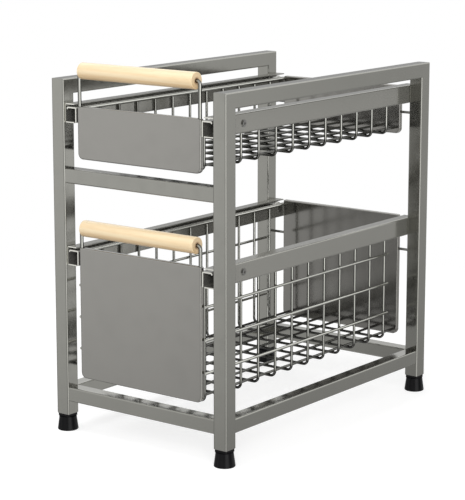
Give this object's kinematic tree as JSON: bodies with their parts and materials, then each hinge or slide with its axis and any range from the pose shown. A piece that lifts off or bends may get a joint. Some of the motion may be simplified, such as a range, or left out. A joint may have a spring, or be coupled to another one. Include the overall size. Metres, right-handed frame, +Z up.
{
  "type": "pull out cabinet basket",
  "caption": "Two-tier pull-out cabinet basket: grey plated square-tube frame, shallow and deep wire baskets on roller runners, wooden grips.",
  "frame": {"origin": "centre of the part at floor level, under the middle of its bounding box", "axes": "+Z up, -Y is the front where the baskets pull out, +X is the right side seen from the front"},
  "size_m": [0.244, 0.3954, 0.4119],
  "materials": {
    "plated_tube": "glossy grey plating",
    "plated_runner": "glossy grey plating",
    "plated_panel": "glossy grey plating",
    "plated_wire": "glossy grey plating",
    "axle_steel": "satin",
    "foot_plastic": "matte black",
    "roller_nylon": "natural nylon",
    "grip_wood": "light wood, clear lacquer"
  },
  "bodies": {
    "frame": {"post_front_left": "plated_tube", "post_front_right": "plated_tube", "post_back_left": "plated_tube", "post_back_right": "plated_tube", "top_rail_left": "plated_tube", "top_rail_right": "plated_tube", "bottom_rail_front": "plated_tube", "bottom_rail_back": "plated_tube", "bottom_rail_left": "plated_tube", "bottom_rail_right": "plated_tube", "middle_rail_front": "plated_tube", "back_rods": "plated_wire", "foot_front_left": "foot_plastic", "foot_front_right": "foot_plastic", "foot_back_left": "foot_plastic", "foot_back_right": "foot_plastic", "runner_lower_left": "plated_runner", "runner_lower_right": "plated_runner", "runner_upper_left": "plated_runner", "runner_upper_right": "plated_runner", "front_axles": "axle_steel"},
    "lower_basket": {"rear_pins_lower": "axle_steel", "front_panel_lower": "plated_panel", "back_panel_lower": "plated_panel", "cross_wires_lower": "plated_wire", "floor_wires_lower": "plated_wire", "rim_wires_lower": "plated_wire", "side_wires_lower": "plated_wire", "handle_wire_lower": "plated_wire", "slider_lower_left": "plated_runner", "slider_lower_right": "plated_runner"},
    "upper_basket": {"rear_pins_upper": "axle_steel", "front_panel_upper": "plated_panel", "back_panel_upper": "plated_panel", "cross_wires_upper": "plated_wire", "floor_wires_upper": "plated_wire", "rim_wires_upper": "plated_wire", "handle_wire_upper": "plated_wire", "slider_upper_left": "plated_runner", "slider_upper_right": "plated_runner"},
    "front_roller_lower_left": {"front_roller_lower_left": "roller_nylon"},
    "front_roller_lower_right": {"front_roller_lower_right": "roller_nylon"},
    "front_roller_upper_left": {"front_roller_upper_left": "roller_nylon"},
    "front_roller_upper_right": {"front_roller_upper_right": "roller_nylon"},
    "rear_roller_lower_left": {"rear_roller_lower_left": "roller_nylon"},
    "rear_roller_lower_right": {"rear_roller_lower_right": "roller_nylon"},
    "rear_roller_upper_left": {"rear_roller_upper_left": "roller_nylon"},
    "rear_roller_upper_right": {"rear_roller_upper_right": "roller_nylon"},
    "grip_lower": {"grip_lower": "grip_wood"},
    "grip_upper": {"grip_upper": "grip_wood"}
  },
  "joints": [
    {"name": "lower_basket_slide", "type": "slide", "parent": "frame", "child": "lower_basket", "axis": [0, -1, 0], "range_m": [0, 0.305]},
    {"name": "upper_basket_slide", "type": "slide", "parent": "frame", "child": "upper_basket", "axis": [0, -1, 0], "range_m": [0, 0.305]},
    {"name": "front_roller_lower_left_turn", "type": "hinge", "parent": "frame", "child": "front_roller_lower_left", "pos_m": [-0.0929, -0.14125, 0.1994], "axis": [1, 0, 0], "range_deg": [0, 3501]},
    {"name": "rear_roller_lower_left_turn", "type": "hinge", "parent": "lower_basket", "child": "rear_roller_lower_left", "pos_m": [-0.09405, 0.17975, 0.1993], "axis": [1, 0, 0], "range_deg": [0, 1969]},
    {"name": "front_roller_lower_right_turn", "type": "hinge", "parent": "frame", "child": "front_roller_lower_right", "pos_m": [0.0929, -0.14125, 0.1994], "axis": [1, 0, 0], "range_deg": [0, 3501]},
    {"name": "rear_roller_lower_right_turn", "type": "hinge", "parent": "lower_basket", "child": "rear_roller_lower_right", "pos_m": [0.09405, 0.17975, 0.1993], "axis": [1, 0, 0], "range_deg": [0, 1969]},
    {"name": "grip_lower_turn", "type": "hinge", "parent": "lower_basket", "child": "grip_lower", "pos_m": [0, -0.18875, 0.232], "axis": [1, 0, 0], "continuous": true},
    {"name": "front_roller_upper_left_turn", "type": "hinge", "parent": "frame", "child": "front_roller_upper_left", "pos_m": [-0.0929, -0.14125, 0.3563], "axis": [1, 0, 0], "range_deg": [0, 3501]},
    {"name": "rear_roller_upper_left_turn", "type": "hinge", "parent": "upper_basket", "child": "rear_roller_upper_left", "pos_m": [-0.09405, 0.17975, 0.3562], "axis": [1, 0, 0], "range_deg": [0, 1969]},
    {"name": "front_roller_upper_right_turn", "type": "hinge", "parent": "frame", "child": "front_roller_upper_right", "pos_m": [0.0929, -0.14125, 0.3563], "axis": [1, 0, 0], "range_deg": [0, 3501]},
    {"name": "rear_roller_upper_right_turn", "type": "hinge", "parent": "upper_basket", "child": "rear_roller_upper_right", "pos_m": [0.09405, 0.17975, 0.3562], "axis": [1, 0, 0], "range_deg": [0, 1969]},
    {"name": "grip_upper_turn", "type": "hinge", "parent": "upper_basket", "child": "grip_upper", "pos_m": [0, -0.18875, 0.4029], "axis": [1, 0, 0], "continuous": true}
  ],
  "couplings": [
    {"joint": "front_roller_lower_left_turn", "follows": "lower_basket_slide", "rad_per_m": 200},
    {"joint": "rear_roller_lower_left_turn", "follows": "lower_basket_slide", "rad_per_m": 112.36},
    {"joint": "front_roller_lower_right_turn", "follows": "lower_basket_slide", "rad_per_m": 200},
    {"joint": "rear_roller_lower_right_turn", "follows": "lower_basket_slide", "rad_per_m": 112.36},
    {"joint": "front_roller_upper_left_turn", "follows": "upper_basket_slide", "rad_per_m": 200},
    {"joint": "rear_roller_upper_left_turn", "follows": "upper_basket_slide", "rad_per_m": 112.36},
    {"joint": "front_roller_upper_right_turn", "follows": "upper_basket_slide", "rad_per_m": 200},
    {"joint": "rear_roller_upper_right_turn", "follows": "upper_basket_slide", "rad_per_m": 112.36}
  ]
}
